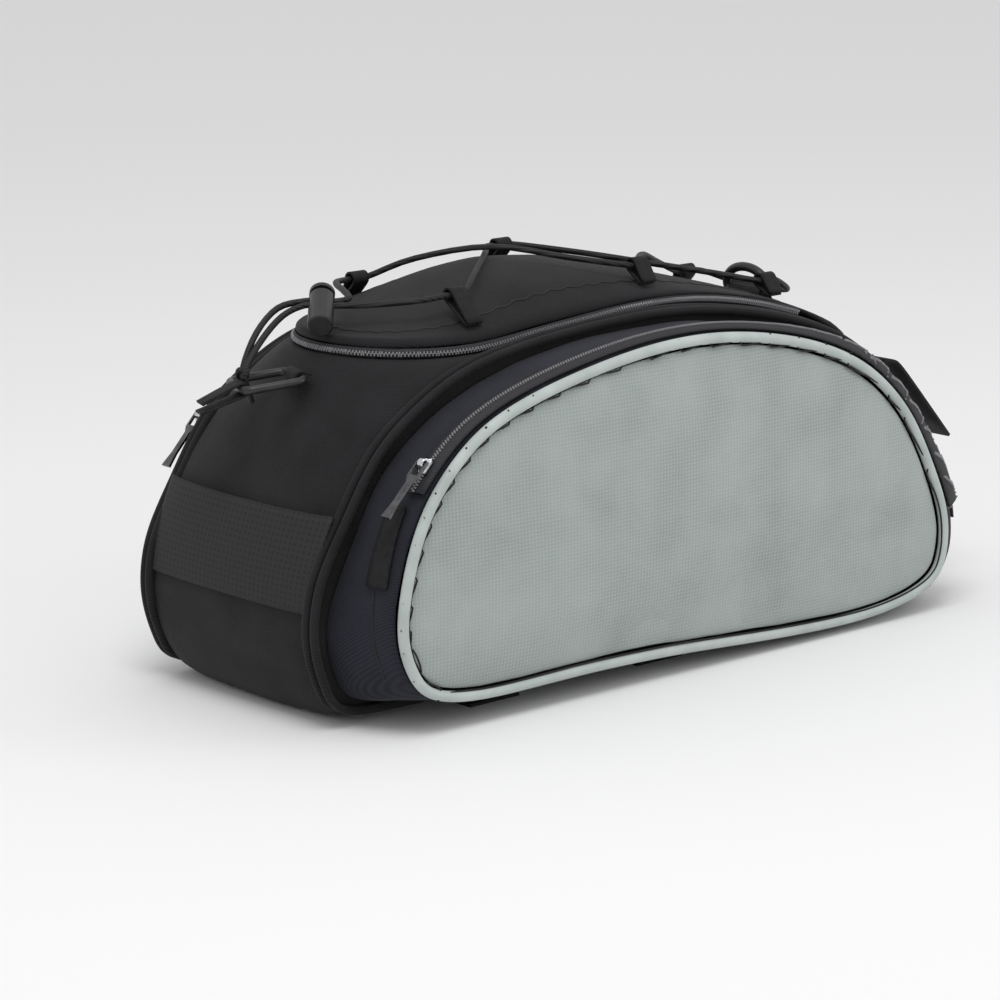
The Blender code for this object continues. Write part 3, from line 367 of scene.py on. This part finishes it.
def columns_of(node, plane):
    """Middles of a band's columns of points, in order round the bag; plane
    holds the two axes that the band runs in."""
    points = [v.co.copy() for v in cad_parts[node].data.vertices]
    groups = []
    for point in points:
        for group in groups:
            if math.dist([group[0][k] for k in plane], [point[k] for k in plane]) < 0.0034:
                group.append(point)
                break
        else:
            groups.append([point])
    middles = [sum(g, Vector()) / len(g) for g in groups]
    across, upward = plane
    heart = sum(middles, Vector()) / len(middles)
    middles.sort(key=lambda m: math.atan2(m[upward] - heart[upward], m[across] - heart[across]))
    gaps = [(middles[i] - middles[i - 1]).length for i in range(len(middles))]
    first = gaps.index(max(gaps))
    return middles[first:] + middles[:first]


def even_steps(line, spacing):
    """Places along a line with even spacing, each with the line's course."""
    out = []
    left = 0.0
    for low, high in zip(line, line[1:]):
        length = (high - low).length
        if length < 1e-9:
            continue
        while left <= length:
            out.append((low.lerp(high, left / length), (high - low).normalized()))
            left += spacing
        left -= length
    return out


def skin_of(thing):
    return BVHTree.FromObject(thing, bpy.context.evaluated_depsgraph_get())


def teeth(name, line, outward_of, skin, rows, tooth, finish):
    """Rows of coil teeth that stand on a zip's tape, each tooth narrower at
    its crown."""
    long, wide, high = tooth
    corners = []
    faces = []
    for place, course in even_steps(line, ZIP_TOOTH_SPACING):
        facing = outward_of(place, course)
        for row, offset in enumerate(rows):
            aside = facing.cross(course).normalized() * offset
            shift = course * ZIP_TOOTH_SPACING / 2 * (row % 2)
            spot, outward, _, _ = skin.find_nearest(place + aside + shift + facing * 0.004)
            if outward.dot(facing) < 0:
                outward = -outward
            across = outward.cross(course).normalized()
            first = len(corners)
            for crown in (0, 1):
                share = 0.5 - 0.14 * crown
                rise = outward * (high * crown - 0.0002)
                for along, to_side in ((-1, -1), (1, -1), (1, 1), (-1, 1)):
                    corners.append(spot + rise + course * along * long * share
                                   + across * to_side * wide * share)
            faces += [[first + k for k in loop] for loop in (
                (3, 2, 1, 0), (4, 5, 6, 7), (0, 1, 5, 4), (1, 2, 6, 5), (2, 3, 7, 6), (3, 0, 4, 7))]
    mesh = bpy.data.meshes.new(name)
    mesh.from_pydata(corners, [], faces)
    mesh.materials.append(finish)
    thing = bpy.data.objects.new(name, mesh)
    bpy.context.scene.collection.objects.link(thing)
    return thing


def plan_outward(place, course):
    side = Vector((course.y, -course.x, 0.0)).normalized()
    return side if side.dot(Vector((place.x * 0.12, place.y, 0.0))) > 0 else -side


lid_zip = refined("lid_zip", "lid_zip_tape", 1, crisp=50)
lid_zip.data.materials.append(zip_tape)
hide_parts("lid_zip")
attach(lid_zip, "bag")
lid_zip_line = flowing_line(columns_of("lid_zip", (0, 1)), 10)
lid_teeth = teeth("lid_zip_teeth", lid_zip_line, plan_outward, skin_of(lid_zip), (-0.0010, 0.0010),
                  (0.00085, 0.0014, 0.0009), tooth_painted_highlight)
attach(lid_teeth, "bag")

# Lid seam: the edge strip is sewn to the lid's field about 11 mm in from the
# zip, with black thread that puckers the cloth.
seam_thread, tree, shader = new_finish("seam_thread", (0.004, 0.004, 0.005), 0.7)
add_bump(tree, shader, mottle(tree, place_of_surface(tree), 900.0), 0.4, 0.0002)
SEAM_INSET = 0.0110
SEAM_PUCKER = 0.0006
lid_skin = skin_of(lid)
seam_line = []
for index, (place, course) in enumerate(even_steps(lid_zip_line, 0.003)):
    inward = -plan_outward(place, course) * (SEAM_INSET + SEAM_PUCKER * math.sin(index * 1.7))
    hit = lid_skin.ray_cast(Vector((place.x, place.y, 0.3)) + inward, Vector((0, 0, -1)))
    if hit[0] is not None:
        seam_line.append(hit[0])
lid_seam = tube_along("lid_seam", flowing_line(seam_line, 3), 0.00055, sides=1)
lid_seam.data.materials.append(seam_thread)
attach(lid_seam, "bag")

# Side piping: on each side of the body two black cloth-covered cords lie
# side by side along the seam.
PIPING_SWELL = 0.00035
PIPING_ROW_GAP = 0.0046
for side_name, side in (("left", -1), ("right", 1)):
    outer = refined(side_name + "_edge_piping", side_name + "_outer_piping", 2, PIPING_SWELL)
    outer.data.materials.append(body_twill)
    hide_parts(side_name + "_edge_piping")
    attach(outer, "bag")
    inner = bpy.data.objects.new(side_name + "_inner_piping", outer.data.copy())
    for vert in inner.data.vertices:
        vert.co.y -= side * PIPING_ROW_GAP
        vert.co.x *= 1.004
        vert.co.z += 0.0004
    bpy.context.scene.collection.objects.link(inner)
    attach(inner, "bag")

# Side pouches: a twill gusset that folds out of the body, a zip along its
# upper edge, grey bound piping, and a grey panel that bows softly outward.
GREY_LIGHT = (0.352, 0.392, 0.378)
GREY_DARK = (0.265, 0.300, 0.290)
NAVY_LOW = (0.0075, 0.0080, 0.0125)
NAVY_HIGH = (0.020, 0.021, 0.031)
# The gusset twill's paler random patches are painted highlight, as on the body.
gusset_twill = twill("gusset_twill", NAVY_LOW, NAVY_HIGH, 0.0013, 0.5)

dotted_grey, tree, shader = new_finish("dotted_grey_cloth", GREY_LIGHT, 0.72)
places = place_of_surface(tree)
dots = combine(tree, ribs(tree, places, "X", 0.0019), ribs(tree, places, "Z", 0.0017))
fine = mottle(tree, places, 1500.0, 1.0)
broad = mottle(tree, places, 30.0)
look = combine(tree, combine(tree, dots, fine), broad, "ADD")
tint_between(tree, look, GREY_DARK, GREY_LIGHT, shader, 0.30, 0.80)
add_bump(tree, shader, dots, 0.35, 0.0003)
shader.inputs["Sheen Weight"].default_value = 0.2
shader.inputs["Specular IOR Level"].default_value = 0.3

bound_grey, tree, shader = new_finish("bound_grey_piping", (0.42, 0.465, 0.45), 0.6)
places = place_of_surface(tree)
tint_between(tree, mottle(tree, places, 60.0), (0.36, 0.405, 0.39), (0.46, 0.505, 0.49), shader)
add_bump(tree, shader, mottle(tree, places, 700.0), 0.25, 0.0002)

LEFT_PANEL_DENTS = (
    ((-0.035, -0.104, 0.022), (0.040, 0.02, 0.016), 0.0022),
    ((0.037, -0.104, 0.029), (0.024, 0.02, 0.034), 0.0018),
    ((0.042, -0.106, 0.091), (0.020, 0.02, 0.040), 0.0012),
    ((-0.110, -0.104, 0.100), (0.022, 0.02, 0.040), 0.0010),
    ((0.120, -0.104, 0.050), (0.045, 0.02, 0.020), 0.0014),
)


def side_outward(place, course):
    side = Vector((-course.z, 0.0, course.x)).normalized()
    return side if side.dot(Vector((place.x * 0.3, 0.0, place.z - 0.05))) > 0 else -side


for side_name, side in (("left", -1), ("right", 1)):
    gusset = refined(side_name + "_pouch_gusset", side_name + "_gusset_cloth", 2)
    slacken(gusset, 0.0007, 26.0, 5.0 + side)
    gusset.data.materials.append(gusset_twill)
    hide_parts(side_name + "_pouch_gusset")
    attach(gusset, "bag")

    panel = refined(side_name + "_pouch_panel", side_name + "_grey_panel", 2)
    slacken(panel, 0.0006, 16.0, 9.0 + side, LEFT_PANEL_DENTS if side < 0 else ())
    panel.data.materials.append(dotted_grey)
    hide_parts(side_name + "_pouch_panel")
    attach(panel, "bag")

    piping = refined(side_name + "_pouch_piping", side_name + "_grey_piping", 2, PIPING_SWELL * 1.25)
    piping.data.materials.append(bound_grey)
    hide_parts(side_name + "_pouch_piping")
    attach(piping, "bag")

    tape = refined(side_name + "_pouch_zip", side_name + "_pouch_zip_tape", 1, crisp=50)
    tape.data.materials.append(zip_tape)
    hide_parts(side_name + "_pouch_zip")
    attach(tape, "bag")

    zip_line = flowing_line(columns_of(side_name + "_pouch_zip", (0, 2)), 8)
    rows = (-0.0008, 0.0008)
    # The pouch teeth share the grey colour that is painted highlight.
    pouch_teeth = teeth(side_name + "_pouch_zip_teeth", zip_line, side_outward, skin_of(tape), rows,
                        (0.0008, 0.0010, 0.0008), tooth_painted_highlight)
    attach(pouch_teeth, "bag")

# Groove stitching: dark thread sunk between the grey piping and the panel,
# all the way round both pouches.
GROOVE_INSET = 0.0029
GROOVE_RISE = 0.0011
STITCHING_RADIUS = 0.00045


def ring_outward(place, course, ring):
    heart = sum(ring, Vector()) / len(ring)
    side = Vector((-course.z, 0.0, course.x)).normalized()
    return side if side.dot(place - heart) > 0 else -side


for side_name, side in (("left", -1), ("right", 1)):
    ring = columns_of(side_name + "_pouch_piping", (0, 2))
    line = []
    ring_line = flowing_line(ring, 4, closed=True)
    for index, place in enumerate(ring_line):
        course = (ring_line[(index + 1) % len(ring_line)] - ring_line[index - 1]).normalized()
        spot = place - ring_outward(place, course, ring) * GROOVE_INSET
        spot.y = place.y + side * GROOVE_RISE
        line.append(spot)
    groove = tube_along(side_name + "_panel_stitching", line, STITCHING_RADIUS,
                        closed=True, sides=1)
    groove.data.materials.append(seam_thread)
    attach(groove, "bag")

# Zip sliders and pulls: cast sliders with a chrome face, and slim dark plated
# pulls that hang from them and are wider at the end.
chrome, tree, shader = new_finish("slider_chrome", (0.62, 0.63, 0.65), 0.16, 1.0)
add_bump(tree, shader, mottle(tree, place_of_surface(tree), 400.0), 0.08, 0.0002)
gunmetal, tree, shader = new_finish("gunmetal_plate", (0.115, 0.115, 0.120), 0.30, 1.0)
places = place_of_surface(tree)
tint_between(tree, mottle(tree, places, 220.0), (0.080, 0.080, 0.085), (0.160, 0.160, 0.170), shader)
add_bump(tree, shader, mottle(tree, places, 600.0), 0.1, 0.0002)
for zip_name in ("left_pouch", "right_pouch", "lid"):
    slider = refined(zip_name + "_slider", zip_name + "_slider_cast", 2, crisp=35)
    slider.data.materials.append(chrome)
    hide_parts(zip_name + "_slider")
    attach(slider, "bag")
    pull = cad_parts[zip_name + "_pull"]
    pull.data.materials.clear()
    pull.data.materials.append(gunmetal)

# Webbing: black ribbed tape, used for the loops, the tabs, the front and
# rear straps and the straps under the base.
webbing, tree, shader = new_finish("ribbed_webbing", (0.012, 0.012, 0.014), 0.68)
places = place_of_surface(tree)
rib = ribs(tree, places, "DIAGONAL", 0.00075)
tint_between(tree, combine(tree, rib, mottle(tree, places, 300.0)), (0.004, 0.004, 0.005),
             (0.019, 0.019, 0.021), shader, 0.1, 0.6)
add_bump(tree, shader, rib, 0.4, 0.0002)
shader.inputs["Specular IOR Level"].default_value = 0.25
WEBBING_NODES = (
    "left_front_loop", "left_middle_loop", "left_rear_loop", "right_front_loop", "right_middle_loop",
    "right_rear_loop", "front_tab", "front_strap", "rear_tab", "rear_strap")
for node in WEBBING_NODES:
    band = refined(node, node + "_webbing", 2, crisp=60)
    band.data.materials.append(webbing)
    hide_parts(node)
    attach(band, "bag")
for node in ("front_base_strap", "middle_base_strap", "rear_base_strap"):
    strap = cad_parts[node]
    strap.data.materials.clear()
    strap.data.materials.append(webbing)

# Frayed ends: the front tab is cut webbing, and loose threads stand out of
# its cut end beside the ring.
tab_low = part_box("front_tab")[0]
for number in range(16):
    wander = noise.noise_vector(Vector((number * 3.7, 1.3, 0.4)))
    root = Vector((tab_low[0] + 0.0040, tab_low[1] + 0.0005 + 0.0007 * number, tab_low[2] + 0.0008))
    reach = Vector((-0.0035, -0.0008, -0.0022)) + wander * 0.0016
    thread = tube_along("tab_thread_%02d" % number, flowing_line(
        [root, root + reach * 0.5 + wander * 0.0006, root + reach], 4), 0.00018, sides=1)
    thread.data.materials.append(webbing)
    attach(thread, "bag")

# Zip garage: a short black webbing flap sewn over the lower front end of the
# left pouch's zip, with the gusset's curved seam running down from it.
def seen_on(skin, pixels):
    """Places on a surface that the camera sees at the given picture points."""
    turn = camera.rotation_euler.to_matrix()
    found = []
    for across, down in pixels:
        ray = turn @ Vector(((across - 500) / 1000, (500 - down) / 1000, -lens.lens / lens.sensor_width))
        hit = skin.ray_cast(camera.location, ray.normalized())
        if hit[0] is not None:
            found.append(hit[0])
    return found


def sewn_strip(name, places, skin, width, rise, finish):
    """A flat strip that is sewn along a surface and follows it."""
    line = flowing_line(places, 5)
    rows = 4
    corners = []
    faces = []
    for index, place in enumerate(line):
        course = (line[min(index + 1, len(line) - 1)] - line[max(index - 1, 0)]).normalized()
        facing = skin.find_nearest(place)[1]
        across = facing.cross(course).normalized()
        for row in range(rows + 1):
            aside = place + across * width * (row / rows - 0.5)
            spot, outward, _, _ = skin.find_nearest(aside + facing * 0.002)
            corners.append(spot + outward * rise)
    for index in range(len(line) - 1):
        for row in range(rows):
            first = index * (rows + 1) + row
            faces.append((first, first + 1, first + rows + 2, first + rows + 1))
    mesh = bpy.data.meshes.new(name)
    mesh.from_pydata(corners, [], faces)
    flat = bpy.data.objects.new(name + "_flat", mesh)
    bpy.context.scene.collection.objects.link(flat)
    wall = flat.modifiers.new("wall", "SOLIDIFY")
    wall.thickness = rise + 0.0004
    wall.offset = -1.0
    solid = bpy.data.meshes.new_from_object(flat.evaluated_get(bpy.context.evaluated_depsgraph_get()))
    bpy.data.objects.remove(flat, do_unlink=True)
    solid.name = name
    solid.shade_smooth()
    solid.materials.append(finish)
    thing = bpy.data.objects.new(name, solid)
    bpy.context.scene.collection.objects.link(thing)
    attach(thing, "bag")
    return thing


gusset_skin = skin_of(bpy.data.objects["left_gusset_cloth"])
garage = seen_on(gusset_skin, ((399, 508), (390, 535), (383, 562), (378, 588)))
sewn_strip("zip_garage", garage, gusset_skin, 0.0110, 0.0009, webbing)
curve_places = seen_on(gusset_skin, ((374, 592), (372, 620), (375, 650), (385, 680)))
curved_seam = tube_along("gusset_curved_seam", flowing_line(curve_places, 6), 0.0006, sides=1)
curved_seam.data.materials.append(seam_thread)
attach(curved_seam, "bag")

# Reflective strip: a short pale tape on a ribbed navy band, sewn across the
# rear end of the left gusset beside the grey piping.
navy_band, tree, shader = new_finish("ribbed_navy_band", NAVY_HIGH, 0.6)
places = place_of_surface(tree)
rib = ribs(tree, places, "Z", 0.0013)
tint_between(tree, rib, NAVY_LOW, (0.026, 0.028, 0.045), shader)
add_bump(tree, shader, rib, 0.5, 0.0003)
reflector, tree, shader = new_finish("reflective_tape", (0.55, 0.56, 0.58), 0.32)
places = place_of_surface(tree)
beads = mottle(tree, places, 2600.0, 1.0)
tint_between(tree, beads, (0.42, 0.43, 0.45), (0.66, 0.67, 0.69), shader)
add_bump(tree, shader, beads, 0.3, 0.0001)
band_places = [gusset_skin.find_nearest(Vector(p))[0] for p in (
    (0.186, -0.083, 0.098), (0.192, -0.083, 0.080), (0.196, -0.083, 0.060), (0.196, -0.083, 0.042))]
sewn_strip("rear_navy_band", band_places, gusset_skin, 0.0130, 0.0007, navy_band)
sewn_strip("reflective_strip", [a.lerp(b, 0.5) for a, b in zip(band_places[1:], band_places[2:])],
           gusset_skin, 0.0080, 0.0012, reflector)

# Cord lock and rings: moulded black plastic, satin. The lock's button slides
# in its barrel, and the rear ring swings in its tab.
satin, tree, shader = new_finish("satin_plastic", (0.014, 0.014, 0.015), 0.38)
places = place_of_surface(tree)
tint_between(tree, mottle(tree, places, 120.0), (0.010, 0.010, 0.011), (0.021, 0.021, 0.022), shader)
add_bump(tree, shader, mottle(tree, places, 1400.0), 0.12, 0.0002)
for node in ("cord_lock_barrel", "cord_lock_button"):
    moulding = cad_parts[node]
    moulding.data.materials.clear()
    moulding.data.materials.append(satin)
for node, body_name in (("front_ring", "bag"), ("rear_ring", "rear_ring_body")):
    ring = refined(node, node + "_moulding", 2, 0.0003)
    ring.data.materials.append(satin)
    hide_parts(node)
    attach(ring, body_name)
